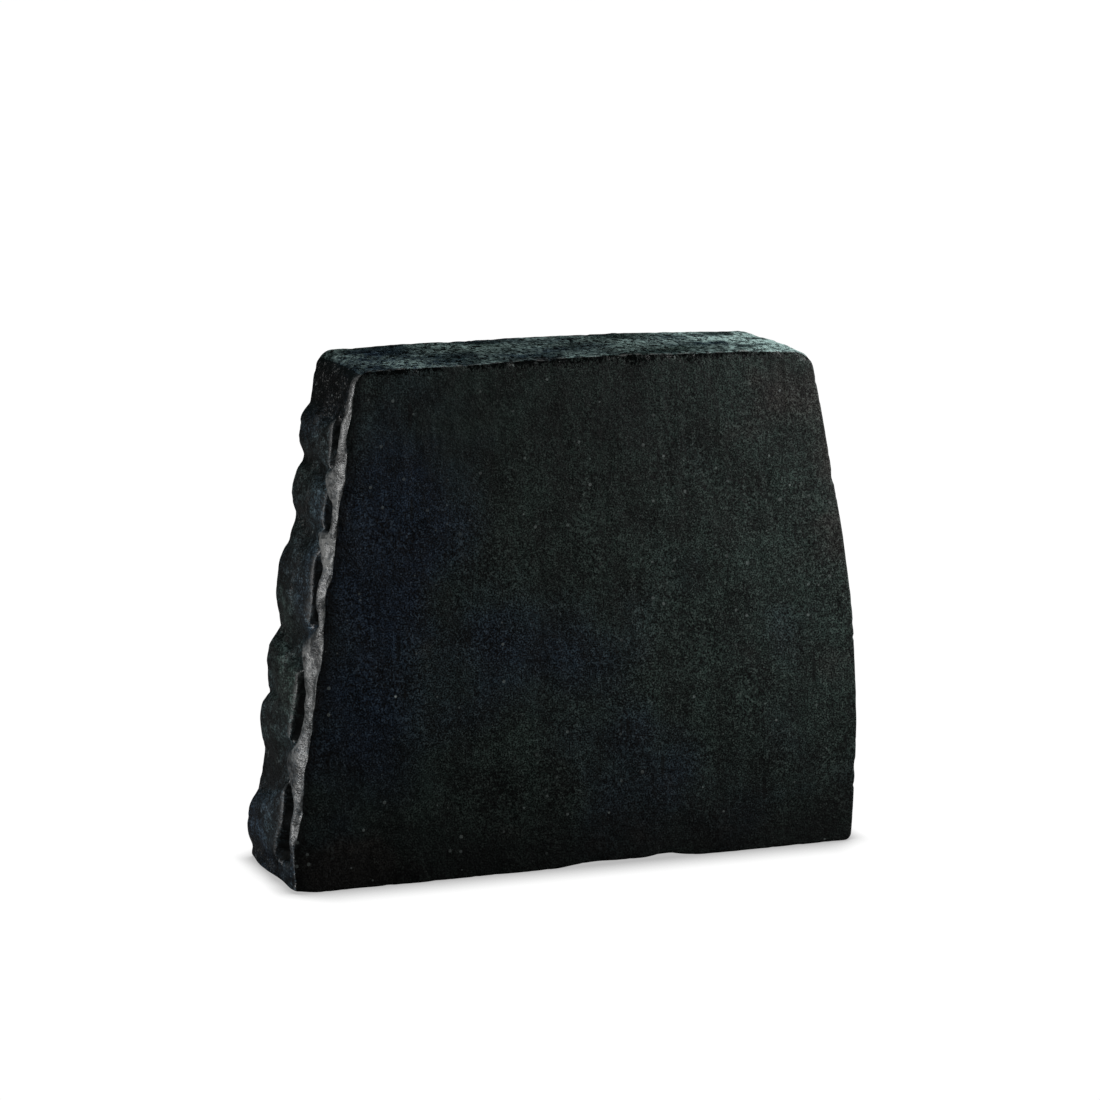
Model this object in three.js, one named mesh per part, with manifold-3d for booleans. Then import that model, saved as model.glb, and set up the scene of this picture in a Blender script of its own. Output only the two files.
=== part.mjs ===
import * as THREE from 'three';
import { RoundedBoxGeometry } from 'three/addons/geometries/RoundedBoxGeometry.js';
import { mergeVertices } from 'three/addons/utils/BufferGeometryUtils.js';
import Module from 'manifold-3d';

// A slice of black charcoal soap: a moulded bar, cut by two upright knife cuts.
// Millimetres, +Z up. The front cut faces -Y and the moulded left flank, with its raised pads, faces -X.
// Sketch axes: x runs right from the foot's left corner, y runs back from the front cut, z runs up.

// Driving dimensions
const thickness = 20; // from knife cut to knife cut
const footWidth = 77.6;
const belly = { x: 78.3, z: 13 }; // the right side is widest here
const shoulder = { x: 75.3, z: 46 }; // above this the right side leans in straight
const topRight = { x: 70.9, z: 66.5 }; // top corners, before they are rounded
const topLeftHeight = 66.8;
const flankLean = 0.15; // the left flank moves in this far for each millimetre up
const kneeHeight = 3.7; // below this the left flank is upright
const crownRise = 0.5; // the top swells this much between its corners
const cornerRound = 2.2;
const footTuck = 0.42; // share of the belly's height where the right side starts to tuck in

// Relief on the left flank: y is depth from the front cut, z pairs are low and high ends
const rim = { depth: 4, z: [4.6, 64.8], proud: 0.8 };
const padFront = 6; // the pads start this far behind the front cut
const pads = [
  { front: [54, 59], back: [53.8, 59.6], proud: 0.7 },
  { front: [45.6, 50.8], back: [45.4, 52], proud: 0.65 },
  { front: [33.6, 43], back: [31.2, 43], proud: 1 },
  { front: [23, 27.2], back: [23, 30.2], proud: 1 },
  { front: [18.5, 22.8], back: [15, 22], proud: 0.75 },
  { front: [3, 12.8], back: [2.4, 8.8], proud: 0.7 },
];
const slotDepths = [1.8, 6.5]; // the slots lie between the rim and the pads
const slotCut = 1.6;
const slots = [[54, 59.6], [46, 51], [34.5, 43.2], [19, 27.3], [3.6, 13.4]];
const reliefRound = 1.1; // rounding of the pads, the rim and the slots

const curveSteps = 10;
const roundSteps = 3;
const overrun = 3; // the bar and its relief run on past the knife cuts by this much
const sink = 2; // pads reach this far into the bar, and slot cutters this far out of it

const wasm = await Module();
wasm.setup();

// Closed geometry to a solid, with shared vertices merged and collapsed triangles dropped
function toSolid(geometry) {
  const bare = geometry.clone();
  bare.deleteAttribute('normal');
  bare.deleteAttribute('uv');
  const merged = mergeVertices(bare, 1e-4);
  const corners = merged.index.array;
  const triVerts = [];
  for (let i = 0; i < corners.length; i += 3) {
    const triangle = [corners[i], corners[i + 1], corners[i + 2]];
    if (new Set(triangle).size === 3) triVerts.push(...triangle);
  }
  return new wasm.Manifold(new wasm.Mesh({
    numProp: 3,
    vertProperties: new Float32Array(merged.attributes.position.array),
    triVerts: new Uint32Array(triVerts),
  }));
}

function toGeometry(solid) {
  const mesh = solid.getMesh();
  const geometry = new THREE.BufferGeometry();
  geometry.setAttribute('position', new THREE.BufferAttribute(mesh.vertProperties, 3));
  geometry.setIndex(new THREE.BufferAttribute(mesh.triVerts, 1));
  geometry.computeVertexNormals();
  return geometry;
}

// Point at a distance from one 2-D point towards another
function towards(from, to, distance) {
  const step = to.clone().sub(from);
  return from.clone().add(step.setLength(distance));
}

// Section of the mould, seen from the front: foot, swelling right side, crowned top, leaning left flank
function barOutline() {
  const leanRight = (shoulder.x - topRight.x) / (topRight.z - shoulder.z);
  const bellyTurn = shoulder.z - (belly.x - shoulder.x) / leanRight;
  const knee = new THREE.Vector2(0, kneeHeight);
  const left = new THREE.Vector2(flankLean * (topLeftHeight - kneeHeight), topLeftHeight);
  const right = new THREE.Vector2(topRight.x, topRight.z);
  const rightSide = towards(right, new THREE.Vector2(shoulder.x, shoulder.z), cornerRound);
  const topStart = towards(right, left, cornerRound);
  const topEnd = towards(left, right, cornerRound);
  const leftSide = towards(left, knee, cornerRound);
  const crown = topStart.clone().lerp(topEnd, 0.5);

  const shape = new THREE.Shape();
  shape.moveTo(0, 0);
  shape.lineTo(footWidth, 0);
  shape.quadraticCurveTo(belly.x, footTuck * belly.z, belly.x, belly.z);
  shape.quadraticCurveTo(belly.x, bellyTurn, shoulder.x, shoulder.z);
  shape.lineTo(rightSide.x, rightSide.y);
  shape.quadraticCurveTo(right.x, right.y, topStart.x, topStart.y);
  shape.quadraticCurveTo(crown.x, crown.y + 2 * crownRise, topEnd.x, topEnd.y);
  shape.quadraticCurveTo(left.x, left.y, leftSide.x, leftSide.y);
  shape.lineTo(knee.x, knee.y);
  shape.closePath();
  return shape;
}

// The moulded bar, running on past both knife cuts
function bar() {
  const depth = thickness + 2 * overrun;
  const geometry = new THREE.ExtrudeGeometry(barOutline(), {
    depth,
    bevelEnabled: false,
    curveSegments: curveSteps,
  });
  geometry.rotateX(Math.PI / 2);
  geometry.translate(0, thickness + overrun, 0);
  return toSolid(geometry);
}

// Pillow lying on the left flank: a rounded box from low to high above the flank, squeezed so that
// its z ends run from the front pair at the first depth to the back pair at the last.
function flankPillow({ depths, front, back, low, high }) {
  const length = depths[1] - depths[0];
  const width = Math.max(front[1] - front[0], back[1] - back[0]);
  const rise = high - low;
  const geometry = new RoundedBoxGeometry(rise, length, width, roundSteps, reliefRound);
  const outward = new THREE.Vector3(-1, 0, flankLean).normalize();
  const points = geometry.attributes.position;
  const point = new THREE.Vector3();
  for (let i = 0; i < points.count; i += 1) {
    point.fromBufferAttribute(points, i);
    const along = point.y / length + 0.5;
    const across = point.z / width + 0.5;
    const height = low + rise * (0.5 - point.x / rise);
    const lowEnd = THREE.MathUtils.lerp(front[0], back[0], along);
    const highEnd = THREE.MathUtils.lerp(front[1], back[1], along);
    const z = THREE.MathUtils.lerp(lowEnd, highEnd, across);
    point.set(flankLean * (z - kneeHeight), depths[0] + along * length, z);
    point.addScaledVector(outward, height);
    points.setXYZ(i, point.x, point.y, point.z);
  }
  return toSolid(geometry);
}

// The space between the two knife cuts
function knifeSpan() {
  const roomy = 4 * footWidth;
  const geometry = new THREE.BoxGeometry(roomy, thickness, roomy);
  geometry.translate(0, thickness / 2, 0);
  return toSolid(geometry);
}

function soapSlice() {
  let soap = bar().add(flankPillow({
    depths: [-overrun, rim.depth],
    front: rim.z,
    back: rim.z,
    low: -sink,
    high: rim.proud,
  }));
  for (const { front, back, proud } of pads) {
    const depths = [padFront, thickness + overrun];
    soap = soap.add(flankPillow({ depths, front, back, low: -sink, high: proud }));
  }
  for (const ends of slots) {
    soap = soap.subtract(flankPillow({
      depths: slotDepths,
      front: ends,
      back: ends,
      low: -slotCut,
      high: sink,
    }));
  }
  const geometry = toGeometry(soap.intersect(knifeSpan()));

  // Origin at the middle of the foot's box
  geometry.computeBoundingBox();
  const box = geometry.boundingBox;
  geometry.translate(-(box.min.x + box.max.x) / 2, -(box.min.y + box.max.y) / 2, -box.min.z);
  return geometry;
}

const charcoalSoap = new THREE.MeshStandardMaterial({ color: 0x1c2020, roughness: 0.7, metalness: 0 });
const slice = new THREE.Mesh(soapSlice(), charcoalSoap);
slice.name = 'soap_slice';

const group = new THREE.Group();
group.add(slice);

export default group;
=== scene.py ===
import math

import bpy
import numpy as np
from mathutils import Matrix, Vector


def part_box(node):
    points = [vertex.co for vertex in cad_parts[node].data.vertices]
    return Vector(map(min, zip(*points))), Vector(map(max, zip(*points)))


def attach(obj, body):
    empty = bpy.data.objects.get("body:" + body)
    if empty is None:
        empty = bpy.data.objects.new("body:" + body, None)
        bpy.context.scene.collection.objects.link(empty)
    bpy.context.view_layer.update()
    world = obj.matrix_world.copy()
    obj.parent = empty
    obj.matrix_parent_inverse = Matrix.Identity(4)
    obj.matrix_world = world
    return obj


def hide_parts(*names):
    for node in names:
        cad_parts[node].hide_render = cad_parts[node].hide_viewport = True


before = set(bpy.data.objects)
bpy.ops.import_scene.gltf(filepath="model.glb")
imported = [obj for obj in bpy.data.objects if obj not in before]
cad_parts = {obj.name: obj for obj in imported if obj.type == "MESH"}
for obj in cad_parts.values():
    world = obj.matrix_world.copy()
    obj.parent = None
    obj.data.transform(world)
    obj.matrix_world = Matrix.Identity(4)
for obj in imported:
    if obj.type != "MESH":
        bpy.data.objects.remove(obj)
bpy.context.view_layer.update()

cutLow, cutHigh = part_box("soap_slice")
mm = 0.001
print("frame loaded, soap_slice from", tuple(cutLow), "to", tuple(cutHigh))

# sketch axes, in mm: x right from the foot's left corner, y back from the front cut, z up
section = {
    "footWidth": 77.6,
    "belly": (78.3, 13.0),       # the right side is widest here
    "shoulder": (75.0, 46.0),    # above this it leans in straight
    "topRight": (70.9, 66.5),
    "topLeftHeight": 66.8,
    "footTuck": 0.42,
    "flankLean": 0.15,           # the left flank moves in this far per mm up
    "kneeHeight": 3.7,
    "kneeBend": 0.8,             # softness of the bend there
    "crownRise": 0.5,            # the top swells this much between its corners
    "knifeRound": (0.28, 0.45),  # front and back cut edges
    "footRound": (0.6, 0.9),     # left and right, seen from the front
    "topLeftRound": (1.3, 3.0),  # at the front and at the back
    "topRightRound": 2.4,
    "steps": (150, 76, 168),     # grid steps along x, y and z
    "edgeSteps": 6,              # of these, fine ones at each end
    "edgeBand": 0.9,             # width of these fine steps, and how they close up to the edge
    "edgeCrowding": 1.4,
}
thickness = (cutHigh.y - cutLow.y) / mm
sketchOrigin = np.array([cutHigh.x / mm - section["belly"][0], cutLow.y / mm, 0.0])


# smooth step from 0 at low to 1 at high, either way round
def ramp(low, high, value):
    share = np.clip((value - low) / (high - low), 0.0, 1.0)
    return share * share * (3.0 - 2.0 * share)


# straight mix of a and b
def blend(a, b, share):
    return a + (b - a) * share


# bell curve of unit height round a centre
def bell(value, centre, width):
    return np.exp(-((value - centre) / width) ** 2)


# sum of bells, one for each row of centre, size and width
def bellSum(value, rows):
    return sum(size * bell(value, centre, width) for centre, size, width in rows)


# 1 between the inner two of four rising places, falling smoothly to 0 at the outer two
def window(value, places):
    a, b, c, d = places
    return ramp(a, b, value) * ramp(d, c, value)


# sum of plane waves of about one wavelength, in random directions: a smooth field of unit spread
def waveField(points, wavelength, seed, count=28):
    rng = np.random.default_rng(seed)
    directions = rng.normal(size=(count, points.shape[1]))
    directions /= np.linalg.norm(directions, axis=1, keepdims=True)
    lengths = wavelength * rng.uniform(0.7, 1.4, count)
    phases = rng.uniform(0.0, 2.0 * np.pi, count)
    turns = points @ (directions * (2.0 * np.pi / lengths)[:, None]).T
    return np.cos(turns + phases).sum(axis=1) * math.sqrt(2.0 / count)


# sum of wave fields, one for each layer of size, wavelength and seed
def fieldSum(points, layers, seedShift=0):
    return sum(size * waveField(points, length, seed + seedShift) for size, length, seed in layers)


# quadratic curve from start to end, pulled towards turn
def pulledCurve(start, turn, end, count=40):
    t = np.linspace(0.0, 1.0, count)[:, None]
    start, turn, end = np.array(start), np.array(turn), np.array(end)
    return (1 - t) ** 2 * start + 2 * t * (1 - t) * turn + t ** 2 * end


# right side of the section: foot to belly, belly to shoulder, then straight; read off by height
def rightSide(z):
    belly, shoulder, top = section["belly"], section["shoulder"], section["topRight"]
    lean = (shoulder[0] - top[0]) / (top[1] - shoulder[1])
    turn = (belly[0], shoulder[1] - (belly[0] - shoulder[0]) / lean)
    tuck = (belly[0], section["footTuck"] * belly[1])
    side = np.vstack([
        pulledCurve((section["footWidth"], 0.0), tuck, belly),
        pulledCurve(belly, turn, shoulder)[1:],
        [(top[0] - lean, top[1] + 1.0)],
    ])
    return np.interp(z, side[:, 1], side[:, 0])


# left flank without its relief: upright to the knee, then leaning in, with a soft bend between
def leftSide(z):
    bend = section["kneeBend"]
    return section["flankLean"] * bend * np.logaddexp(0.0, (z - section["kneeHeight"]) / bend)


# top of the section: a straight run between the corners plus a low parabola
def topSide(x):
    left = leftSide(section["topLeftHeight"])
    share = (x - left) / (section["topRight"][0] - left)
    straight = blend(section["topLeftHeight"], section["topRight"][1], share)
    return straight + section["crownRise"] * 4.0 * share * (1.0 - share)


relief = {
    "valley": -0.33,             # level between the pads, from the plain flank
    "padFront": 5.9,             # depth where the pads start
    "padForward": 1.3,           # the pads between these heights start this much nearer
    "padForwardSpan": (29.0, 33.0, 50.0, 53.5),
    "padFrontWall": 1.2,
    "padShoulders": (0.5, 0.36),  # lower and upper at the back, as shares of the pad's length
    "padFrontShoulder": 0.16,
    "pads": [                    # low and high z ends at the front and at the back, and the rise
        {"front": (53.0, 59.8), "back": (53.2, 60.1), "rise": 1.0},
        {"front": (45.0, 51.6), "back": (45.3, 52.4), "rise": 1.0},
        {"front": (32.6, 43.8), "back": (30.6, 44.6), "rise": 1.4},
        {"front": (20.8, 27.8), "back": (22.6, 30.8), "rise": 1.3},
        {"front": (18.0, 24.6), "back": (14.8, 23.3), "rise": 1.2},
        {"front": (2.2, 13.6), "back": (1.7, 8.7), "rise": 1.0},
    ],
    "slots": [(53.8, 59.6), (45.6, 51.2), (34.0, 43.2), (18.8, 27.4), (3.4, 13.4)],
    "slotEnds": (0.4, 1.0, 0.8),  # how far the ends run out, and in at the low and the high end
    "slotLevel": -1.9,
    "slotMiddle": (4.4, 1.2),    # depth place and width of the floor's hollow
    "slotFloor": 0.72,           # share of the level beside the hollow
    "slotBack": (9.0, 6.0),
    "slotWall": 1.5,             # width of the wall between the rim and a slot
    "bridges": [(52.5, 1.7), (44.4, 1.5), (30.6, 2.4), (16.2, 2.4)],
    "rimCrest": (1.3, 3.2),      # depth of the rim's crest beside a slot and on a bridge
    "rimSwell": (23.0, 1.4, 4.5),  # the rim is wider here: height, added depth and width
    "rimRise": (0.68, 1.2),
    "rimFall": (5.0, 8.0),       # width of its slope to the valley
    "rimSpan": (3.0, 7.5, 65.0, 66.6),
    "burnishHighlightFade": (0.6, 4.1),   # reach of its pale burnish and painted highlight behind the crest
    "trench": (0.1, 0.8),        # the painted shade of a slot starts this far behind the crest
    "trenchBack": (6.4, 6.0),
    "trenchFloor": (5.4, 4.4),   # in front of this it is half as strong
    "raisedFront": (10.0, 5.0),  # in front of this all counts as raised
    "lip": (6.7, 0.7),           # depth place and width of the pads' lips over the slots
    "fade": 7.0,                 # the relief's push fades out this far into the slice
    "padRidges": [(48.6, 2.4), (36.8, 4.6)],  # z and half length of the low ridge along a pad
    "ridge": (13.0, 0.8, 0.2),   # its depth place, width and height
    "footSwell": (0.9, 1.6, 14.0, 5.5),  # push at the foot, its height, depth place and width
    "wobble": [(0.28, 7.5, 61)],  # unevenness of all this: size, wavelength, seed
    "edgeLevel": 0.02,            # level of the cut edge, and its waves: height, push and width
    "edgeWaves": [
        (58.4, 0.46, 3.8), (49.6, 0.14, 2.2), (38.6, 0.68, 2.4), (27.0, 0.3, 2.4),
        (18.8, 0.2, 2.2), (44.8, -0.12, 1.6), (32.6, -0.14, 2.4), (14.4, -0.1, 1.6),
        (10.4, -0.12, 1.2), (5.6, 0.14, 1.6), (1.2, -0.2, 1.4),
    ],
}

# levels of the masks, and the places in mm between which they change; the rim, bridge and top
# burnish grades also shape the rim's painted highlight, the foot, low, left and flank top, foot and
# back grades set painted shade and light, and the right bloom grade adds a painted sheen
grades = {
    "rimBurnishHighlight": ((0.74, 1.7), (14.0, 60.0)),     # over height
    "bridgeBurnishHighlight": ((1.4, 0.7), (42.0, 52.0)),
    "topBurnishHighlight": ((1.0, 0.4), (60.5, 64.5)),
    "footShade": ((0.4, 1.0), (0.0, 11.0)),
    "lowShade": ((0.62, 1.0), (0.0, 22.0)),
    "flankTopShade": ((0.0, 1.0), (56.0, 63.0)),
    "flankFootShade": ((0.75, 1.0), (0.0, 6.0)),
    "footChips": ((0.4, 1.0), (0.5, 2.0)),
    "gritHeight": ((0.0, 1.0), (1.0, 4.0)),
    "gritDepth": ((0.0, 1.0), (0.0, 0.6)),         # over depth
    "flankBackShade": ((1.2, 0.65), (8.0, 19.0)),
    "leftShade": ((1.0, 0.0), (0.3, 2.0)),          # over x
    "leftBloom": ((0.6, 0.5), (10.0, 30.0)),
    "rightBloomSheen": ((0.0, 3.0), (57.0, 69.0)),
    "rightCrumbs": ((1.0, 0.45), (58.0, 72.0)),
    "rightEdge": ((0.0, 1.0), (36.0, 50.0)),
}


# a mask's level at a place: the first up to one place, the second from another, smooth between
def graded(name, place):
    levels, places = grades[name]
    return blend(*levels, ramp(*places, place))


# pad over depth y and height z: a soft dome between its z ends, times a steep rounded front wall
def padPillow(pad, y, z):
    along = np.clip((y - relief["padFront"]) / (thickness - relief["padFront"]), 0.0, 1.0)
    lowEnd = blend(pad["front"][0], pad["back"][0], along)
    highEnd = blend(pad["front"][1], pad["back"][1], along)
    lowShare, highShare = blend(
        relief["padFrontShoulder"], np.array(relief["padShoulders"])[:, None], along ** 0.6
    )
    below = np.clip(1.0 - (z - lowEnd) / (lowShare * (highEnd - lowEnd)), 0.0, 1.0)
    above = np.clip(1.0 - (highEnd - z) / (highShare * (highEnd - lowEnd)), 0.0, 1.0)
    before = np.clip(1.0 - (y - relief["padFront"]) / relief["padFrontWall"], 0.0, 1.0)
    dome = (1.0 - below ** 2) ** 1.2 * (1.0 - above ** 2) ** 1.3
    return pad["rise"] * dome * (1.0 - before ** 2.5) ** 0.5


# height of the flank's relief over depth y and height z: from the waving cut edge a rim rolls up to
# its crest and falls to the valley, or to a hollowed slot, and the pads stand behind it; also masks
# of the rim's pale burnish and painted highlight, of the slots' painted shade, of the pads' lips
# and of all that is raised
def flankRelief(depth, height):
    flat = np.stack([depth, height], axis=1)
    y = depth + fieldSum(flat, relief["wobble"])
    z = height + fieldSum(flat, relief["wobble"], seedShift=5)
    edge = relief["edgeLevel"] + bellSum(z, relief["edgeWaves"])
    out, lowIn, highIn = relief["slotEnds"]
    slots = np.max([
        window(z, (low - out, low + lowIn, high - highIn, high + out))
        for low, high in relief["slots"]
    ], axis=0)
    bridges = np.clip(sum(bell(z, c, w) for c, w in relief["bridges"]), 0.0, 1.0)
    span = window(z, relief["rimSpan"])

    crest = blend(*relief["rimCrest"], bridges) + (1.0 - bridges) * bellSum(z, [relief["rimSwell"]])
    rise = blend(*relief["rimRise"], bridges) * span
    rim = edge + rise * np.sin(0.5 * np.pi * np.clip(y / crest, 0.0, 1.0))
    fall = blend(blend(*relief["rimFall"], bridges), relief["slotWall"], slots)
    drop = ramp(crest, crest + fall, y)
    behind = y + relief["padForward"] * window(z, relief["padForwardSpan"])
    middle = bell(behind, *relief["slotMiddle"])
    hollow = relief["slotLevel"] * blend(relief["slotFloor"], 1.0, middle)
    floor = blend(relief["valley"], hollow, slots * ramp(*relief["slotBack"], behind))
    level = blend(rim, floor, drop)

    pads = np.max([padPillow(pad, behind, z) for pad in relief["pads"]], axis=0)
    relieved = np.where(pads > 0.0, np.maximum(level, relief["valley"] + pads), level)
    place, width, size = relief["ridge"]
    ridges = sum(bell(z, c, w) ** 2 for c, w in relief["padRidges"])
    relieved += size * bell(y, place, width) * ridges
    size, tall, place, width = relief["footSwell"]
    relieved += size * bell(z, 0.0, tall) * bell(y, place, width)

    # pale burnish of the rim and bridges: partly real, partly a painted highlight where they face
    # the left softbox
    fade = crest + blend(*relief["burnishHighlightFade"], bridges)
    burnishHighlight = span * ramp(0.0, 0.1, depth) * ramp(fade, crest, y)
    burnishHighlight *= ramp(0.15, 0.0, np.where(pads > 0.0, relief["valley"] + pads - level, 0.0))
    burnishHighlight *= graded("rimBurnishHighlight", z) * graded("topBurnishHighlight", z)
    burnishHighlight *= blend(1.0, graded("bridgeBurnishHighlight", z), bridges)
    lip = slots * bell(behind, *relief["lip"]) * ramp(0.1, 0.5, pads)
    # painted shade in the slots: where their colour goes dark
    start, full = relief["trench"]
    trench = ramp(crest + start, crest + full, y) * ramp(0.0, 0.25, slots)
    trench *= ramp(*relief["trenchBack"], behind)
    trench *= blend(1.0, 0.5, ramp(*relief["trenchFloor"], behind))
    raised = np.maximum(ramp(0.0, 0.6, pads), ramp(*relief["raisedFront"], behind))
    return relieved, burnishHighlight, trench, lip, raised


# grid places along one side: fine steps near both ends, even ones between
def gridPlaces(length, steps):
    fine = section["edgeSteps"]
    end = section["edgeBand"] * np.linspace(0.0, 1.0, fine + 1) ** section["edgeCrowding"]
    middle = np.linspace(end[-1], length - end[-1], steps - 2 * fine + 1)
    return np.concatenate([end[:-1], middle, (length - end[:-1])[::-1]])


# moves points of a square corner onto a round one: rings of equal largest distance become arcs
def roundCorner(a, b, radius):
    u = np.clip(radius - a, 0.0, None)
    v = np.clip(radius - b, 0.0, None)
    size = np.hypot(u, v)
    share = np.maximum(u, v) / np.where(size > 0.0, size, 1.0)
    inside = (a < radius) & (b < radius)
    return np.where(inside, radius - u * share, a), np.where(inside, radius - v * share, b)


# skin of a block: all grid points on the six sides, each once, and the quads between them
def blockSkin(xs, ys, zs):
    shape = (len(xs), len(ys), len(zs))
    onSkin = np.zeros(shape, bool)
    onSkin[[0, -1]] = onSkin[:, [0, -1]] = onSkin[:, :, [0, -1]] = True
    ids = np.full(shape, -1)
    ids[onSkin] = np.arange(onSkin.sum())
    i, j, k = np.nonzero(onSkin)
    points = np.stack([xs[i], ys[j], zs[k]], axis=1)
    sides = [ids[0].T, ids[-1], ids[:, 0], ids[:, -1].T, ids[:, :, 0].T, ids[:, :, -1]]
    quads = [
        np.stack([s[:-1, :-1], s[1:, :-1], s[1:, 1:], s[:-1, 1:]], axis=-1).reshape(-1, 4)
        for s in sides
    ]
    return points, np.vstack(quads), np.repeat(np.arange(6), [len(q) for q in quads])


# unit normals: each point takes the sum of its quads' area vectors
def skinNormals(points, quads):
    corners = points[quads]
    area = np.cross(corners[:, 2] - corners[:, 0], corners[:, 3] - corners[:, 1])
    normals = np.zeros_like(points)
    for corner in range(4):
        np.add.at(normals, quads[:, corner], area)
    return normals / np.linalg.norm(normals, axis=1, keepdims=True)


wear = {
    "swell": [(0.04, 14.0, 11), (0.014, 5.0, 12), (0.006, 1.7, 13)],  # height, wavelength, seed
    "castSwell": [(0.02, 1.5, 15), (0.03, 3.6, 16)],  # on the moulded sides only
    "drag": (0.012, 2.2, 21),     # knife marks, nearly upright
    "dragLean": 0.12,
    "dragStretch": 0.15,
    "footHollow": [(40.5, 0.4, 3.4), (45.5, 0.3, 3.0), (51.0, 0.62, 3.0)],  # x, lift and width
    "footHollowReach": (4.0, 3.0),  # back and up
    "cornerLift": (0.35, 2.0),    # of the foot's front left corner, and its reach
    "topWaves": [(22.0, -0.2, 5.0), (44.0, 0.12, 4.0), (68.0, -0.2, 4.0)],
    "topWaveReach": 5.0,
    "chips": [(3.2, 31, 0.7, 1.5), (1.3, 32, 1.2, 1.0)],  # wavelength, seed, threshold and limit
    "chipDepth": 0.16,
    "chipReach": 0.6,
    "edgeReach": 0.45,            # of the worn edges' colour
    "edgeShare": 0.6,             # how strong it is away from the top's right part
    "rimLumps": [(0.05, 2.6, 41), (0.012, 0.9, 42)],
    "crumbDepth": 0.22,           # of the crumbly line under the front of the top
    "crumbShadowReach": 0.85,
    "crumbShadowPatches": [(38.0, 0.2, 4.0), (46.8, 0.5, 2.5), (54.6, 0.7, 0.8)],  # x, added reach, width
    "crumbGap": (22.0, 1.8),
    "crumbGroove": (0.35, 0.3),   # its place under the top, and its width
    "crumbWaves": (4.0, 51),
    "topFacing": (0.55, 0.9),     # upward share of the normal, from the corners to the top
    "topAbove": 50.0,
    "bloomGap": (44.0, 0.2, 5.0),  # x, loss and width
}

# soft drifts on the front cut: x, z, width, height and share; the first of painted light and shade,
# the others of colour and of plain, less grainy patches
drifts = {
    "shadeTone": [(41, 59, 14, 9, -0.36), (70, 34, 12, 14, 0.15), (30, 40, 14, 12, -0.08)],
    "blue": [
        (14, 46, 10, 12, 0.4), (10, 24, 12, 14, 0.4), (36, 27, 12, 9, 0.35), (46, 14, 12, 8, 0.25),
    ],
    "rust": [
        (78, 50, 8, 22, 0.35), (66, 62, 7, 5, 0.3), (40, 2, 60, 4, 0.12), (8, 3, 12, 5, 0.35),
        (2, 26, 2, 8, 0.35),
    ],
    "plain": [(22, 60, 11, 8, 0.55), (12, 10, 10, 10, 0.3)],
}

# levels of tone and painted shade: painted shade on the cuts beside the left flank, the flank's
# overall tone, painted shade at the flank's top and in the valleys between the pads
shadeTones = {
    "leftEdge": 0.35,             # of the cuts beside the left flank
    "flank": 0.85,
    "flankTopShade": 0.12,
    "valley": 0.5,                # between the pads, as a share
}


# sum of drifts, each a bell over x times a bell over z
def driftField(name, x, z):
    return sum(share * bell(x, a, w) * bell(z, b, h) for a, b, w, h, share in drifts[name])


# block of the section's size whose knife edges and then section corners are rounded; also its
# square grid, and each point's distance there from the section's outline and from the nearer cut
def roundedBlock(width, height):
    stepsX, stepsY, stepsZ = section["steps"]
    grid, quads, sideOfQuad = blockSkin(
        gridPlaces(width, stepsX), gridPlaces(thickness, stepsY), gridPlaces(height, stepsZ)
    )
    x, y, z = grid.T.copy()
    inset = np.minimum.reduce([x, width - x, z, height - z])
    depth = np.minimum(y, thickness - y)

    newInset, y = roundCorner(inset, y, section["knifeRound"][0])
    newInset, fromBack = roundCorner(newInset, thickness - y, section["knifeRound"][1])
    y = thickness - fromBack
    x = 0.5 * width + (x - 0.5 * width) * (width - 2 * newInset) / (width - 2 * inset)
    z = 0.5 * height + (z - 0.5 * height) * (height - 2 * newInset) / (height - 2 * inset)

    x, z = roundCorner(x, z, section["footRound"][0])
    right, z = roundCorner(width - x, z, section["footRound"][1])
    x, top = roundCorner(width - right, height - z, blend(*section["topLeftRound"], y / thickness))
    right, top = roundCorner(width - x, top, section["topRightRound"])
    return grid, (width - right, y, height - top), quads, sideOfQuad, inset, depth


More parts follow.
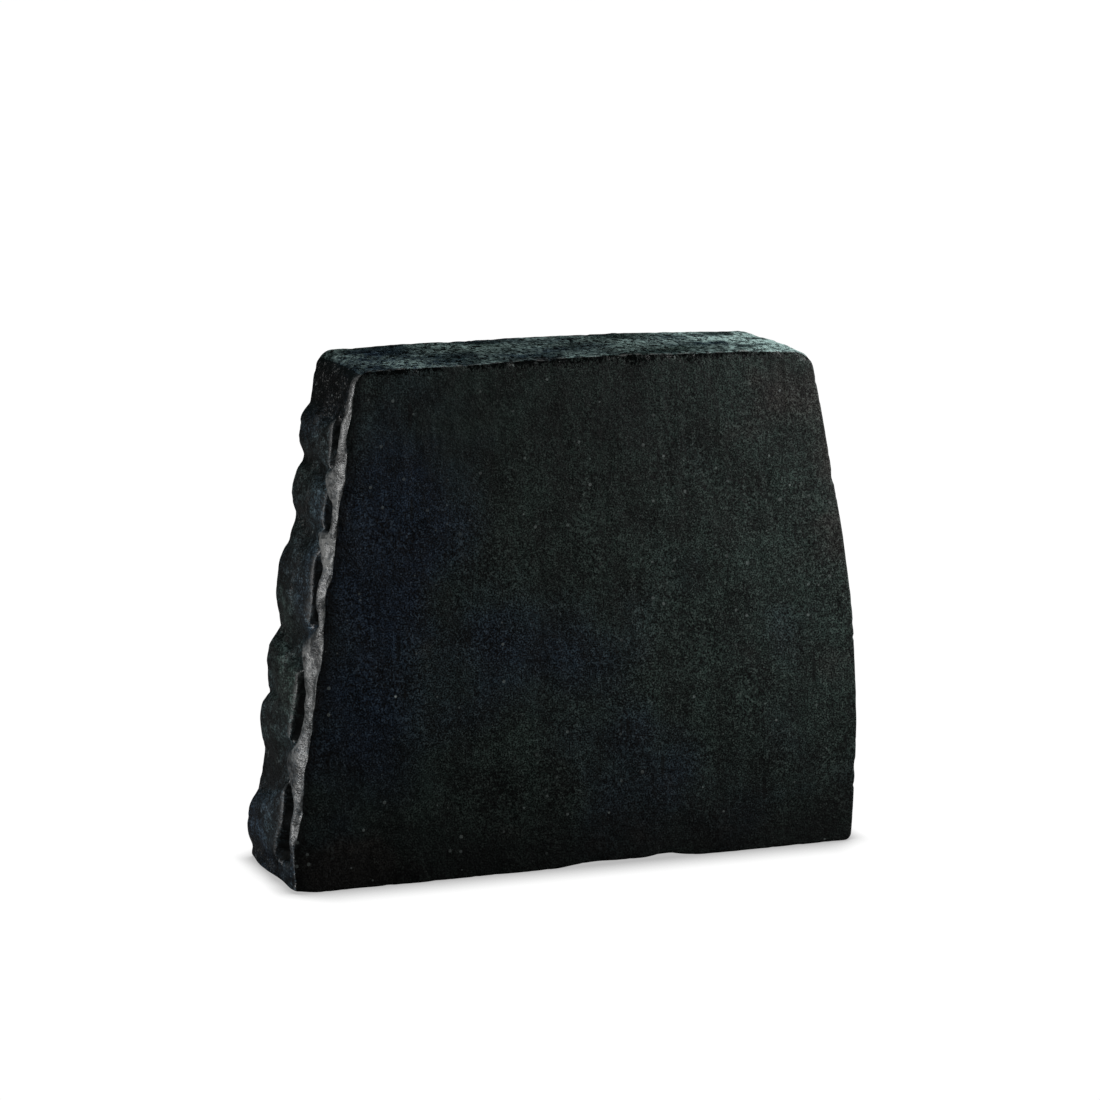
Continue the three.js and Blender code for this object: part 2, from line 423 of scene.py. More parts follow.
# the slice's skin: a rounded block, bent to the mould's section, pushed out by the flank's relief,
# nicked along its edges and roughened by smooth fields
def soapSkin():
    width, height = section["footWidth"], section["topLeftHeight"]
    grid, (x, y, z), quads, sideOfQuad, inset, depth = roundedBlock(width, height)
    onCut, onFront = depth <= 0.0, grid[:, 1] <= 0.0
    edge = np.where(onCut, inset, depth)

    shareX, shareZ = x / width, z / height
    place = blend(leftSide(z), rightSide(z), shareX)
    z = shareZ * topSide(place)
    newX = blend(leftSide(z), rightSide(z), shareX)

    push, burnishHighlight, trench, lip, raised = flankRelief(y, z)
    nearFlank = (1.0 - np.clip(x / relief["fade"], 0.0, 1.0)) ** 2
    newX = newX - push * nearFlank

    nearFront = ramp(wear["topWaveReach"], 0.0, y)
    z = z + nearFront * shareZ ** 6 * bellSum(newX, wear["topWaves"])
    lift, reach = wear["cornerLift"]
    reachBack, reachUp = wear["footHollowReach"]
    hollow = bellSum(newX, wear["footHollow"]) * ramp(reachBack, 0.0, y)
    hollow = hollow + lift * bell(np.hypot(newX, y), 0.0, reach)
    z = z + hollow * ramp(reachUp, 0.0, z)
    points = np.stack([newX, y, z], axis=1)

    normals = skinNormals(points, quads)
    across = np.stack([newX + wear["dragLean"] * z, wear["dragStretch"] * z], axis=1)
    rough = fieldSum(points, wear["swell"]) + onCut * fieldSum(across, [wear["drag"]])
    chips = sum(
        np.clip(waveField(points, length, seed) - threshold, 0.0, limit)
        for length, seed, threshold, limit in wear["chips"]
    )
    chips = chips * bell(edge, 0.0, wear["chipReach"]) * graded("footChips", z)
    rough = rough - wear["chipDepth"] * chips
    burnishHighlight = burnishHighlight * np.where(onCut, 0.0, nearFlank)
    gritty = graded("gritDepth", depth) * graded("gritHeight", z) * (1.0 - trench)
    rough = rough + np.clip(burnishHighlight, 0.0, 1.0) * fieldSum(points, wear["rimLumps"])
    rough = rough + gritty * fieldSum(points, wear["castSwell"])
    points = points + normals * rough[:, None]

    underTop = height - grid[:, 2]
    # reach of the painted shadow line under the top; the groove pressed in below is real
    reach = wear["crumbShadowReach"] + bellSum(newX, wear["crumbShadowPatches"])
    strength = onFront * (1.0 - bell(newX, *wear["crumbGap"])) * graded("rightCrumbs", newX)
    uneven = np.clip(0.6 + 0.5 * waveField(points, *wear["crumbWaves"]), 0.0, 1.4)
    points[:, 1] += wear["crumbDepth"] * strength * bell(underTop, *wear["crumbGroove"]) * uneven
    points[:, 2] = np.clip(points[:, 2], 0.0, None)

    onTop = ramp(*wear["topFacing"], normals[:, 2]) * (points[:, 2] > wear["topAbove"])
    # teal bloom on the top, with a painted sheen that rises towards the right end
    bloomAndSheen = graded("leftBloom", newX) + graded("rightBloomSheen", newX)
    bloomAndSheen = bloomAndSheen - bellSum(newX, [wear["bloomGap"]])
    # painted shade on the cuts: darker towards the foot, in soft drifts of painted light and shade,
    # and beside the left flank
    shadeTone = graded("footShade", z) * graded("lowShade", z)
    shadeTone = shadeTone * (1.0 + onFront * driftField("shadeTone", newX, z))
    shadeTone = shadeTone * blend(1.0, shadeTones["leftEdge"], onCut * graded("leftShade", grid[:, 0]))
    # painted shade on the flank: darker at its top, foot and back, lighter near the rim, and darker
    # in the valleys between the pads
    flankShadeTone = blend(shadeTones["flank"], shadeTones["flankTopShade"], nearFlank * graded("flankTopShade", z))
    flankShadeTone = flankShadeTone * graded("flankFootShade", z) * graded("flankBackShade", y)
    flankShadeTone = flankShadeTone * blend(1.0, blend(shadeTones["valley"], 1.0, raised), nearFlank)
    edgeWear = bell(edge, 0.0, wear["edgeReach"])
    edgeWear = edgeWear * blend(wear["edgeShare"], 1.0, graded("rightEdge", newX) * onTop)
    masks = {
        "edgeWear": edgeWear,
        "burnishHighlight": burnishHighlight,
        "trench": trench * nearFlank,
        "padLip": lip * nearFlank,
        "bloomAndSheen": onTop * bloomAndSheen,
        "crumbShadow": strength * bell(underTop, 0.0, reach),
        "shadeTone": shadeTone,
        "flankShadeTone": flankShadeTone,
        "blueDrift": driftField("blue", newX, z),
        "rustDrift": driftField("rust", newX, z),
        "grainShare": 1.0 - onFront * driftField("plain", newX, z),
    }
    print("skin:", len(points), "points,", len(quads), "quads")
    return (points + sketchOrigin) * mm, quads, sideOfQuad, masks


# a smooth mesh of quads with its materials, and each mask as a value on its points
def meshPiece(name, points, quads, materials, slots, masks):
    mesh = bpy.data.meshes.new(name)
    mesh.vertices.add(len(points))
    mesh.vertices.foreach_set("co", points.astype(np.float32).ravel())
    mesh.loops.add(quads.size)
    mesh.loops.foreach_set("vertex_index", quads.astype(np.int32).ravel())
    mesh.polygons.add(len(quads))
    mesh.polygons.foreach_set("loop_start", np.arange(0, quads.size, 4, dtype=np.int32))
    mesh.update(calc_edges=True)
    for material in materials:
        mesh.materials.append(material)
    mesh.polygons.foreach_set("material_index", slots.astype(np.int32))
    mesh.polygons.foreach_set("use_smooth", np.ones(len(quads), bool))
    for maskName, values in masks.items():
        layer = mesh.attributes.new(maskName, "FLOAT", "POINT")
        layer.data.foreach_set("value", values.astype(np.float32))
    mesh.validate()
    piece = bpy.data.objects.new(name, mesh)
    bpy.context.scene.collection.objects.link(piece)
    return piece


# a node with its settings, and its inputs stored or linked
def addNode(tree, kind, inputs=None, **settings):
    node = tree.nodes.new(kind)
    for key, value in settings.items():
        setattr(node, key, value)
    for key, value in (inputs or {}).items():
        put(tree, node.inputs[key], value)
    return node


# sets a socket: links it if the value is another socket, or else stores the value
def put(tree, socket, value):
    if isinstance(value, bpy.types.NodeSocket):
        tree.links.new(value, socket)
    else:
        socket.default_value = value


# noise over the surface, with about this many lumps per metre
def noise(tree, vector, scale, detail, roughness=0.5):
    node = addNode(tree, "ShaderNodeTexNoise", {
        "Vector": vector, "Scale": scale, "Detail": detail, "Roughness": roughness,
    })
    return node.outputs["Fac"]


# spreads a value from a range to another, smoothly
def spread(tree, value, low, high, toLow=0.0, toHigh=1.0):
    node = addNode(tree, "ShaderNodeMapRange", {
        "Value": value, "From Min": low, "From Max": high, "To Min": toLow, "To Max": toHigh,
    }, interpolation_type="SMOOTHSTEP")
    return node.outputs["Result"]


# one step of arithmetic on two values
def compute(tree, operation, a, b):
    node = addNode(tree, "ShaderNodeMath", {0: a, 1: b}, operation=operation)
    return node.outputs["Value"]


# product of two values
def times(tree, a, b):
    return compute(tree, "MULTIPLY", a, b)


# mix of two values
def blendValue(tree, share, a, b):
    node = addNode(tree, "ShaderNodeMix", {0: share, 2: a, 3: b}, data_type="FLOAT")
    return node.outputs[0]


# a colour times a grey value
def shaded(tree, color, value):
    grey = addNode(tree, "ShaderNodeCombineColor", {0: value, 1: value, 2: value})
    return mixColor(tree, 1.0, color, grey.outputs[0], "MULTIPLY")


# mix of two colours, each of them a socket or plain numbers
def mixColor(tree, share, a, b, mode="MIX"):
    node = addNode(tree, "ShaderNodeMix", data_type="RGBA", blend_type=mode)
    sockets = {s.identifier: s for s in node.inputs}
    put(tree, sockets["Factor_Float"], share)
    put(tree, sockets["A_Color"], a if isinstance(a, bpy.types.NodeSocket) else (*a, 1.0))
    put(tree, sockets["B_Color"], b if isinstance(b, bpy.types.NodeSocket) else (*b, 1.0))
    return next(s for s in node.outputs if s.identifier == "Result_Color")


# coordinates scaled along each axis and then turned: a small scale draws a pattern out
def stretched(tree, vector, scale, turn=(0.0, 0.0, 0.0)):
    node = addNode(tree, "ShaderNodeMapping", {"Vector": vector, "Scale": scale, "Rotation": turn})
    return node.outputs["Vector"]


# a shader group with named sockets; fill makes its inside and returns the outputs' values
def shaderGroup(name, inputs, outputs, fill):
    tree = bpy.data.node_groups.new(name, "ShaderNodeTree")
    for socketName, kind in inputs.items():
        tree.interface.new_socket(socketName, in_out="INPUT", socket_type=kind)
    for socketName, kind in outputs.items():
        tree.interface.new_socket(socketName, in_out="OUTPUT", socket_type=kind)
    start = tree.nodes.new("NodeGroupInput")
    end = tree.nodes.new("NodeGroupOutput")
    for socketName, value in fill(tree, start.outputs).items():
        tree.links.new(value, end.inputs[socketName])
    return tree


# places a shader group with its inputs, and returns its outputs
def useGroup(tree, group, inputs):
    node = addNode(tree, "ShaderNodeGroup", node_tree=group)
    for key, value in inputs.items():
        put(tree, node.inputs[key], value)
    return node.outputs


soapLook = {
    "blue": (0.0044, 0.0090, 0.0170),
    "olive": (0.0078, 0.0138, 0.0116),
    "brown": (0.0150, 0.0136, 0.0122),
    "grain": (0.057, 0.071, 0.064),
    "blueGrain": (0.047, 0.067, 0.088),
    "shade": (0.0012, 0.0016, 0.0016),
    "fleck": (0.3, 0.34, 0.33),
    "pale": (0.172, 0.175, 0.172),
    # teal bloom, also the colour of a painted sheen at the top's right end
    "bloomAndSheen": (0.225, 0.315, 0.3),
    "blueClouds": 60.0,          # sizes of the patterns, as counts per metre
    "brownClouds": 140.0,
    "darkClouds": 210.0,
    "middleGrain": 1300.0,
    "fineGrain": 4700.0,
    "flecks": 680.0,
    "leather": (900.0, 3200.0),
    "wornBreaks": 900.0,
}


# cloudy near-black: olive with blue and brown drifts, darkened in clouds, with paler grains in it
def fillTint(tree, start):
    vector = start["Vector"]
    blue = compute(tree, "ADD", start["Blue"], noise(tree, vector, soapLook["blueClouds"], 4.0))
    blue = spread(tree, blue, 0.52, 0.98)
    rust = compute(tree, "ADD", start["Rust"], noise(tree, vector, soapLook["brownClouds"], 3.0))
    rust = spread(tree, rust, 0.62, 0.95)
    color = mixColor(tree, blue, soapLook["olive"], soapLook["blue"])
    color = mixColor(tree, rust, color, soapLook["brown"])
    fine = noise(tree, vector, soapLook["fineGrain"], 1.0)
    middle = noise(tree, vector, soapLook["middleGrain"], 2.0)
    broad = noise(tree, vector, soapLook["darkClouds"], 4.0, 0.6)
    broad = spread(tree, broad, 0.3, 0.7, 0.5, 1.55)
    dark = spread(tree, fine, 0.37, 0.57, 0.05, 1.55)
    dark = times(tree, dark, spread(tree, middle, 0.3, 0.7, 0.5, 1.6))
    dark = blendValue(tree, start["Grain"], 1.0, dark)
    color = shaded(tree, color, times(tree, dark, broad))
    grains = times(tree, spread(tree, fine, 0.5, 0.72), spread(tree, middle, 0.34, 0.7, 0.2, 1.0))
    grains = times(tree, grains, start["Grain"])
    grainColor = mixColor(tree, blue, soapLook["grain"], soapLook["blueGrain"])
    return {"Color": mixColor(tree, grains, color, grainColor)}


# sparse tiny pale specks: the middles of some cells, chosen by each cell's own random value
def fillFlecks(tree, start):
    cells = addNode(tree, "ShaderNodeTexVoronoi", {
        "Vector": start["Vector"], "Scale": soapLook["flecks"],
    })
    parts = addNode(tree, "ShaderNodeSeparateColor", {0: cells.outputs["Color"]})
    chosen = spread(tree, parts.outputs[0], start["From"], 1.0, 0.0, start["Size"])
    speck = spread(tree, compute(tree, "SUBTRACT", chosen, cells.outputs["Distance"]), 0.0, 0.05)
    return {"Mask": times(tree, speck, parts.outputs[1])}


# leathery grain: two sizes of noise added
def fillGrain(tree, start):
    coarseScale, fineScale = soapLook["leather"]
    coarse = noise(tree, start["Vector"], coarseScale, 3.0, 0.6)
    fine = noise(tree, start["Vector"], fineScale, 2.0, 0.6)
    return {"Height": compute(tree, "ADD", coarse, times(tree, fine, 0.5))}


# worn edges: the mesh's own edge mask, broken up by noise
def fillWorn(tree, start):
    broken = noise(tree, start["Vector"], soapLook["wornBreaks"], 3.0, 0.65)
    broken = spread(tree, broken, 0.42, 0.66)
    return {"Mask": times(tree, start["Edge"], broken)}


# kinds of socket
vectorKind, valueKind, colorKind = "NodeSocketVector", "NodeSocketFloat", "NodeSocketColor"
tintInputs = {"Vector": vectorKind, "Blue": valueKind, "Rust": valueKind, "Grain": valueKind}
soapTint = shaderGroup("soapTint", tintInputs, {"Color": colorKind}, fillTint)
fleckInputs = {"Vector": vectorKind, "From": valueKind, "Size": valueKind}
paleFlecks = shaderGroup("paleFlecks", fleckInputs, {"Mask": valueKind}, fillFlecks)
leatherGrain = shaderGroup("leatherGrain", {"Vector": vectorKind}, {"Height": valueKind}, fillGrain)
wornInputs = {"Vector": vectorKind, "Edge": valueKind}
wornEdge = shaderGroup("wornEdge", wornInputs, {"Mask": valueKind}, fillWorn)


# a material, its node tree and shader, and the object's own coordinates
def startMaterial(name):
    material = bpy.data.materials.new(name)
    material.use_nodes = True
    tree = material.node_tree
    shader = tree.nodes["Principled BSDF"]
    vector = addNode(tree, "ShaderNodeTexCoord").outputs["Object"]
    return material, tree, shader, vector


# one of the masks on the mesh
def attribute(tree, name):
    return addNode(tree, "ShaderNodeAttribute", attribute_name=name).outputs["Fac"]


# normal tilted by a height pattern of this depth, on top of another bump's normal
def bump(tree, height, distance, normal=None):
    node = addNode(tree, "ShaderNodeBump", {
        "Height": height, "Distance": distance, "Strength": 1.0,
    })
    if normal is not None:
        put(tree, node.inputs["Normal"], normal)
    return node.outputs["Normal"]


cutLook = {
    "streaks": 330.0,            # knife drag, nearly upright; sizes are counts per metre
    "streakStretch": (1.0, 1.0, 0.1),
    "streakTurn": (0.0, 0.1, 0.0),
    "streakShade": (0.84, 1.18),
    "streakBump": 0.00006,
    "grainBump": 0.00012,
    "nicks": 420.0,
    "nickStretch": (1.0, 0.0, 0.16),
    "nickTurn": (0.5 * math.pi, 0.0, 0.12),
    "nickShare": 0.7,
    "wornShare": 0.08,
    "crumbShadowGaps": 620.0,
    "crumbShadowTeeth": 3600.0,
    "crumbShadowStretch": (1.0, 1.0, 0.6),
    "crumbShadowRagged": 3.4,
    "roughness": (0.62, 0.25),   # plain, and in the painted shadow line under the top
    "specular": 0.14,
}


# knife-cut faces: tint and flecks, upright drag marks and nicks, painted light and shade in soft
# drifts and painted shade towards the foot and beside the left flank, and a painted shadow line
# under the top's crumbly edge, broken by gaps and with a ragged lower edge
def makeCutFace():
    look = cutLook
    material, tree, shader, vector = startMaterial("knifeCutSoap")
    color = useGroup(tree, soapTint, {
        "Vector": vector,
        "Blue": attribute(tree, "blueDrift"),
        "Rust": attribute(tree, "rustDrift"),
        "Grain": attribute(tree, "grainShare"),
    })["Color"]
    drawn = stretched(tree, vector, look["streakStretch"], look["streakTurn"])
    streaks = noise(tree, drawn, look["streaks"], 4.0, 0.6)
    color = shaded(tree, color, spread(tree, streaks, 0.3, 0.7, *look["streakShade"]))
    # painted light and shade of the cuts, from the mesh's mask
    color = shaded(tree, color, attribute(tree, "shadeTone"))
    flecks = useGroup(tree, paleFlecks, {"Vector": vector, "From": 0.45, "Size": 0.19})["Mask"]
    color = mixColor(tree, flecks, color, soapLook["fleck"])
    upright = stretched(tree, vector, look["nickStretch"], look["nickTurn"])
    cells = addNode(tree, "ShaderNodeTexVoronoi", voronoi_dimensions="2D")
    put(tree, cells.inputs["Vector"], upright)
    put(tree, cells.inputs["Scale"], look["nicks"])
    parts = addNode(tree, "ShaderNodeSeparateColor", {0: cells.outputs["Color"]})
    chosen = spread(tree, parts.outputs[0], 0.8, 1.0, 0.0, 0.15)
    nicks = spread(tree, compute(tree, "SUBTRACT", chosen, cells.outputs["Distance"]), 0.0, 0.04)
    color = mixColor(tree, times(tree, nicks, look["nickShare"]), color, soapLook["shade"])
    worn = useGroup(tree, wornEdge, {"Vector": vector, "Edge": attribute(tree, "edgeWear")})["Mask"]
    color = mixColor(tree, times(tree, worn, look["wornShare"]), color, soapLook["pale"])
    # painted shadow line under the top's crumbly edge
    line = attribute(tree, "crumbShadow")
    gaps = spread(tree, noise(tree, vector, look["crumbShadowGaps"], 3.0), 0.34, 0.58, 0.45, 1.0)
    teeth = stretched(tree, vector, look["crumbShadowStretch"])
    teeth = noise(tree, teeth, look["crumbShadowTeeth"], 2.0, 0.6)
    teeth = times(tree, compute(tree, "SUBTRACT", teeth, 0.5), look["crumbShadowRagged"])
    ragged = compute(tree, "ADD", times(tree, line, gaps), teeth)
    ragged = spread(tree, ragged, 0.36, 0.66, 0.0, 0.93)
    crumbShadow = times(tree, ragged, spread(tree, line, 0.04, 0.3))
    color = mixColor(tree, crumbShadow, color, soapLook["shade"])
    grain = useGroup(tree, leatherGrain, {"Vector": vector})["Height"]
    normal = bump(tree, streaks, look["streakBump"], bump(tree, grain, look["grainBump"]))
    put(tree, shader.inputs["Base Color"], color)
    put(tree, shader.inputs["Normal"], normal)
    put(tree, shader.inputs["Roughness"], blendValue(tree, crumbShadow, *look["roughness"]))
    shader.inputs["Specular IOR Level"].default_value = look["specular"]
    return material


# the moulded sides: the one with the relief, and the plain one with the foot
castLooks = {
    "mouldedSoapSide": {
        "stretch": (1.0, 0.55, 1.0), "blue": 0.22, "rust": 0.0, "flecks": 0.35, "shadeTone": 1.0,
        "roughness": (0.28, 0.38), "specular": 0.5, "grain": 0.0002,
    },
    "plainSoapSide": {
        "stretch": (1.0, 1.0, 0.7), "blue": 0.1, "rust": 0.16, "flecks": 0.2, "shadeTone": 0.5,
        "roughness": (0.5, 0.62), "specular": 0.25, "grain": 0.00012,
    },
}
bothCastSides = {
    "grit": 1500.0,              # sizes of the patterns, as counts per metre
    "blotch": 520.0,
    "specks": 3300.0,
    "speckShare": 0.5,
    "wornShare": 0.6,
    "trenchShade": 0.97,
    "lipHighlight": 0.03,
    "polished": (0.4, 0.26),     # roughness of the rim, the pads' lips and the slots
    "lipRoughness": 0.52,
    "trenchRoughness": 0.3,
}


# moulded sides: tint and flecks, a grainy pale burnish on the rim that is partly a painted
# highlight, painted shade in the slots and over the flank's top, foot, back and valleys, a faint
# painted highlight on the pads' lips, worn edges
def makeCastSide(name):
    look = {**bothCastSides, **castLooks[name]}
    material, tree, shader, plainVector = startMaterial(name)
    vector = stretched(tree, plainVector, look["stretch"])
    color = useGroup(tree, soapTint, {
        "Vector": vector, "Blue": look["blue"], "Rust": look["rust"], "Grain": 1.0,
    })["Color"]
    # painted shade of the flank, scaled for each side
    flankShadeTone = attribute(tree, "flankShadeTone")
    color = shaded(tree, color, times(tree, flankShadeTone, look["shadeTone"]))
    flecks = useGroup(tree, paleFlecks, {"Vector": plainVector, "From": 0.55, "Size": 0.15})["Mask"]
    color = mixColor(tree, times(tree, flecks, look["flecks"]), color, soapLook["fleck"])
    burnishHighlight, trench = attribute(tree, "burnishHighlight"), attribute(tree, "trench")
    grit = noise(tree, vector, look["grit"], 3.0, 0.75)
    blotch = noise(tree, vector, look["blotch"], 3.0, 0.6)
    color = shaded(tree, color, spread(tree, blotch, 0.32, 0.68, 0.45, 1.9))
    color = shaded(tree, color, spread(tree, grit, 0.36, 0.64, 0.5, 1.6))
    scuffedHighlight = spread(tree, grit, 0.4, 0.6, 0.2, 1.0)
    scuffedHighlight = times(tree, scuffedHighlight, spread(tree, blotch, 0.34, 0.6, 0.25, 1.0))
    specks = spread(tree, noise(tree, vector, look["specks"], 2.0, 0.6), 0.56, 0.68)
    specks = times(tree, specks, spread(tree, blotch, 0.46, 0.58))
    specks = times(tree, specks, spread(tree, flankShadeTone, 0.5, 0.25))
    color = mixColor(tree, times(tree, specks, look["speckShare"]), color, soapLook["pale"])
    # pale burnish of the rim and bridges: partly real, partly a painted highlight
    color = mixColor(tree, times(tree, burnishHighlight, scuffedHighlight), color, soapLook["pale"])
    worn = useGroup(tree, wornEdge, {"Vector": vector, "Edge": attribute(tree, "edgeWear")})["Mask"]
    color = mixColor(tree, times(tree, worn, look["wornShare"]), color, soapLook["pale"])
    # painted shade in the slots
    color = mixColor(tree, times(tree, trench, look["trenchShade"]), color, soapLook["shade"])
    lip = attribute(tree, "padLip")
    # a faint painted highlight on the pads' lips
    color = mixColor(tree, times(tree, lip, look["lipHighlight"]), color, soapLook["pale"])
    plain = spread(tree, blotch, 0.3, 0.7, *look["roughness"])
    plain = times(tree, plain, spread(tree, flankShadeTone, 0.15, 0.9, 0.66, 1.04))
    polished = spread(tree, grit, 0.3, 0.7, *look["polished"])
    gloss = blendValue(tree, burnishHighlight, plain, polished)
    gloss = blendValue(tree, lip, gloss, look["lipRoughness"])
    grain = useGroup(tree, leatherGrain, {"Vector": vector})["Height"]
    grain = times(tree, grain, compute(tree, "SUBTRACT", 1.0, trench))
    put(tree, shader.inputs["Base Color"], color)
    put(tree, shader.inputs["Roughness"], blendValue(tree, trench, gloss, look["trenchRoughness"]))
    put(tree, shader.inputs["Normal"], bump(tree, grain, look["grain"]))
    shader.inputs["Specular IOR Level"].default_value = look["specular"]
    return material


topLook = {
    "blue": 0.22,
    "grit": 1700.0,
    "gritStretch": (1.0, 0.5, 1.0),
    "streaks": 190.0,
    "streakStretch": (0.7, 0.7, 1.0),
    "fleckShare": 0.6,
    "hollows": 1500.0,
    "hollowStretch": (1.0, 0.6, 1.0),
    "hollowBump": 0.0002,
    "grainBump": 0.00014,
    "wornShare": 0.7,
    "roughness": (0.55, 0.4),    # between the streaks, and in them
    "specular": 0.0,
}


# open top of the mould: tint, streaky teal bloom with grit in it that turns into a painted sheen
# towards the right end, painted shade in the sunken pits, and worn edges
def makeBloomedTop():
    look = topLook
    material, tree, shader, vector = startMaterial("bloomedSoapTop")
    color = useGroup(tree, soapTint, {
        "Vector": vector, "Blue": look["blue"], "Rust": 0.0, "Grain": 1.0,
    })["Color"]
    drawn = stretched(tree, vector, look["gritStretch"])
    grit = noise(tree, drawn, look["grit"], 3.0, 0.75)
    streaks = stretched(tree, vector, look["streakStretch"])
    streaks = noise(tree, streaks, look["streaks"], 5.0, 0.65)
    # bloom, with a painted sheen towards the right end
    strength = attribute(tree, "bloomAndSheen")
    bloomAndSheen = times(tree, strength, spread(tree, streaks, 0.38, 0.64))
    bloomAndSheen = times(tree, bloomAndSheen, spread(tree, grit, 0.43, 0.57, 0.08, 1.05))
    color = mixColor(tree, bloomAndSheen, color, soapLook["bloomAndSheen"])
    flecks = useGroup(tree, paleFlecks, {"Vector": drawn, "From": 0.55, "Size": 0.15})["Mask"]
    color = mixColor(tree, times(tree, flecks, look["fleckShare"]), color, soapLook["fleck"])
    hollows = stretched(tree, vector, look["hollowStretch"])
    hollows = noise(tree, hollows, look["hollows"], 3.0, 0.7)
    # painted shade in the hollows that the bump sinks
    pits = spread(tree, hollows, 0.48, 0.42, 0.0, 0.95)
    pits = times(tree, pits, spread(tree, strength, 0.8, 2.2, 1.0, 0.45))
    color = mixColor(tree, pits, color, soapLook["shade"])
    worn = useGroup(tree, wornEdge, {"Vector": vector, "Edge": attribute(tree, "edgeWear")})["Mask"]
    color = mixColor(tree, times(tree, worn, look["wornShare"]), color, soapLook["pale"])
    grain = useGroup(tree, leatherGrain, {"Vector": vector})["Height"]
    normal = bump(tree, hollows, look["hollowBump"], bump(tree, grain, look["grainBump"]))
    put(tree, shader.inputs["Base Color"], color)
    put(tree, shader.inputs["Roughness"], spread(tree, streaks, 0.35, 0.65, *look["roughness"]))
    put(tree, shader.inputs["Normal"], normal)
    shader.inputs["Specular IOR Level"].default_value = look["specular"]
    return material


soapMaterials = [
    makeCastSide("mouldedSoapSide"),
    makeCutFace(),
    makeBloomedTop(),
    makeCastSide("plainSoapSide"),
]
print("materials made")

points, quads, sideOfQuad, masks = soapSkin()
materialOfSide = np.array([0, 3, 1, 1, 3, 2])  # left, right, front, back, foot and top
soapSlots = materialOfSide[sideOfQuad]
soap = meshPiece("charcoal_soap", points, quads, soapMaterials, soapSlots, masks)
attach(soap, "root")
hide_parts("soap_slice")
print("soap slice made")

floorLook = {
    "halfSize": 6.0,
    "bounced": (0.05, 0.05, 0.05),   # colour in the light that it gives back
    "glow": 1.02,
    "shadow": 0.46,                  # grey at the contact line
    "shadowReach": (0.0065, 0.003),  # along the slice, and past its ends
    "shadowEnds": (0.034, 0.04),
    "roughness": 0.9,
}


# white to the camera, with a painted contact shadow where the soap meets it: the glow darkened by
# ambient occlusion;
# and dim in the light that it gives back, so that the soap stays black
def makeFloor():
    half = floorLook["halfSize"]
    mesh = bpy.data.meshes.new("floor")
    corners = [(-half, -half, 0), (half, -half, 0), (half, half, 0), (-half, half, 0)]
    mesh.from_pydata(corners, [], [(0, 1, 2, 3)])
    floor = bpy.data.objects.new("floor", mesh)
    bpy.context.scene.collection.objects.link(floor)
    material, tree, shader, vector = startMaterial("paleFloor")
    seen = addNode(tree, "ShaderNodeLightPath").outputs["Is Camera Ray"]
    place = addNode(tree, "ShaderNodeSeparateXYZ", {0: vector}).outputs["X"]
    along = addNode(tree, "ShaderNodeMath", {0: place}, operation="ABSOLUTE").outputs["Value"]
    # painted contact shadow: the floor's glow darkened where ambient occlusion finds the soap
    reach = spread(tree, along, *floorLook["shadowEnds"], *floorLook["shadowReach"])
    openness = addNode(tree, "ShaderNodeAmbientOcclusion", {"Distance": reach}, samples=16)
    grey = addNode(tree, "ShaderNodeMapRange", {
        "Value": openness.outputs["AO"],
        "From Min": 0.5,
        "From Max": 1.0,
        "To Min": floorLook["shadow"],
        "To Max": 1.0,
    })
    black = (0.0, 0.0, 0.0)
    put(tree, shader.inputs["Base Color"], mixColor(tree, seen, floorLook["bounced"], black))
    put(tree, shader.inputs["Emission Color"], mixColor(tree, seen, black, grey.outputs["Result"]))
    shader.inputs["Emission Strength"].default_value = floorLook["glow"]
    shader.inputs["Roughness"].default_value = floorLook["roughness"]
    shader.inputs["Specular IOR Level"].default_value = 0.0
    mesh.materials.append(material)


view = {
    "azimuth": -20.17,           # degrees from the front, and up
    "elevation": 11.1,
    "distance": 515.7,           # mm, as the aim is
    "aim": (-4.07, -10.0, 42.43),
    "lens": 131.65,
    "sensor": 36.0,
    "clipStart": 0.01,
}


# turns a camera or a lamp so that it looks at the target
def aimAt(piece, target):
    piece.rotation_euler = (Vector(target) - piece.location).to_track_quat("-Z", "Y").to_euler()


# camera on a sphere round its aim, by azimuth and elevation
def makeCamera():
    azimuth, elevation = math.radians(view["azimuth"]), math.radians(view["elevation"])
    back = Vector((
        math.sin(azimuth) * math.cos(elevation),
        -math.cos(azimuth) * math.cos(elevation),
        math.sin(elevation),
    ))
    data = bpy.data.cameras.new("camera")
    data.lens = view["lens"]
    data.sensor_width = view["sensor"]
    data.clip_start = view["clipStart"]
    camera = bpy.data.objects.new("camera", data)
    camera.location = (Vector(view["aim"]) + back * view["distance"]) * mm
    aimAt(camera, Vector(view["aim"]) * mm)
    bpy.context.scene.collection.objects.link(camera)
    bpy.context.scene.camera = camera


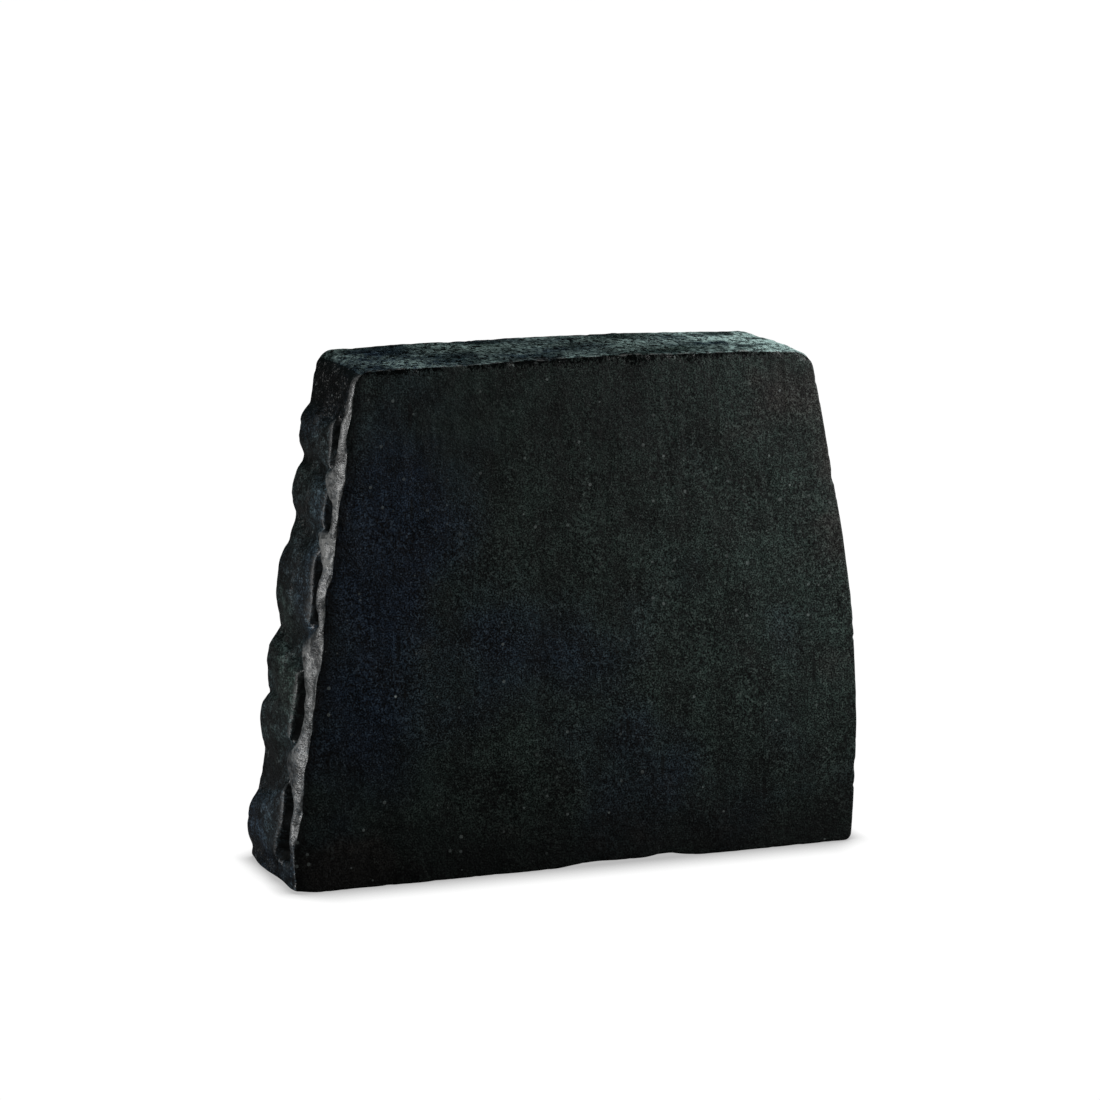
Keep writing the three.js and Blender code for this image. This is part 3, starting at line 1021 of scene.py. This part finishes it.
studio = {
    "ambient": 0.2,            # seen by matt surfaces
    "mirrored": 0.015,         # seen in gloss
    "mirroredTint": (0.76, 1.0, 0.95, 1.0),
    "backdrop": 1.1,           # seen by the camera
    "white": (1.0, 1.0, 1.0, 1.0),
    "aim": (0.0, 0.0, 0.035),
    "softboxes": {
        "leftSoftbox": {"place": (-0.6, 0.04, 0.13), "size": (0.32, 0.3), "power": 2.6},
        "backLeftSoftbox": {"place": (-0.45, 0.36, 0.13), "size": (0.26, 0.3), "power": 0.06},
        "rightKey": {"place": (0.125, -0.065, 0.085), "size": (0.05, 0.05), "power": 0.215},
        "backSoftbox": {"place": (0.26, 0.3, 0.24), "size": (0.16, 0.16), "power": 0.6},
        "backKey": {"place": (0.085, 0.05, 0.17), "size": (0.05, 0.05), "power": 0.185},
    },
}


# a world that is one brightness to matt surfaces, another to gloss and white to the camera, and
# softboxes that all face the slice
def makeStudio():
    world = bpy.data.worlds.new("studio")
    world.use_nodes = True
    tree = world.node_tree
    tree.nodes.clear()
    path = addNode(tree, "ShaderNodeLightPath")
    bright = addNode(tree, "ShaderNodeBackground", {
        "Color": studio["white"], "Strength": studio["ambient"],
    })
    dim = addNode(tree, "ShaderNodeBackground", {
        "Color": studio["mirroredTint"], "Strength": studio["mirrored"],
    })
    seen = addNode(tree, "ShaderNodeBackground", {
        "Color": studio["white"], "Strength": studio["backdrop"],
    })
    mix = addNode(tree, "ShaderNodeMixShader", {
        "Fac": path.outputs["Is Glossy Ray"], 1: bright.outputs[0], 2: dim.outputs[0],
    })
    mix = addNode(tree, "ShaderNodeMixShader", {
        "Fac": path.outputs["Is Camera Ray"], 1: mix.outputs[0], 2: seen.outputs[0],
    })
    addNode(tree, "ShaderNodeOutputWorld", {"Surface": mix.outputs[0]})
    bpy.context.scene.world = world
    for name, box in studio["softboxes"].items():
        data = bpy.data.lights.new(name, "AREA")
        data.shape = "RECTANGLE"
        data.size, data.size_y = box["size"]
        data.energy = box["power"]
        lamp = bpy.data.objects.new(name, data)
        lamp.location = box["place"]
        aimAt(lamp, studio["aim"])
        lamp.visible_camera = False
        bpy.context.scene.collection.objects.link(lamp)
    bpy.context.scene.view_settings.view_transform = "Standard"


makeFloor()
makeCamera()
makeStudio()
print("floor, camera and lights made")
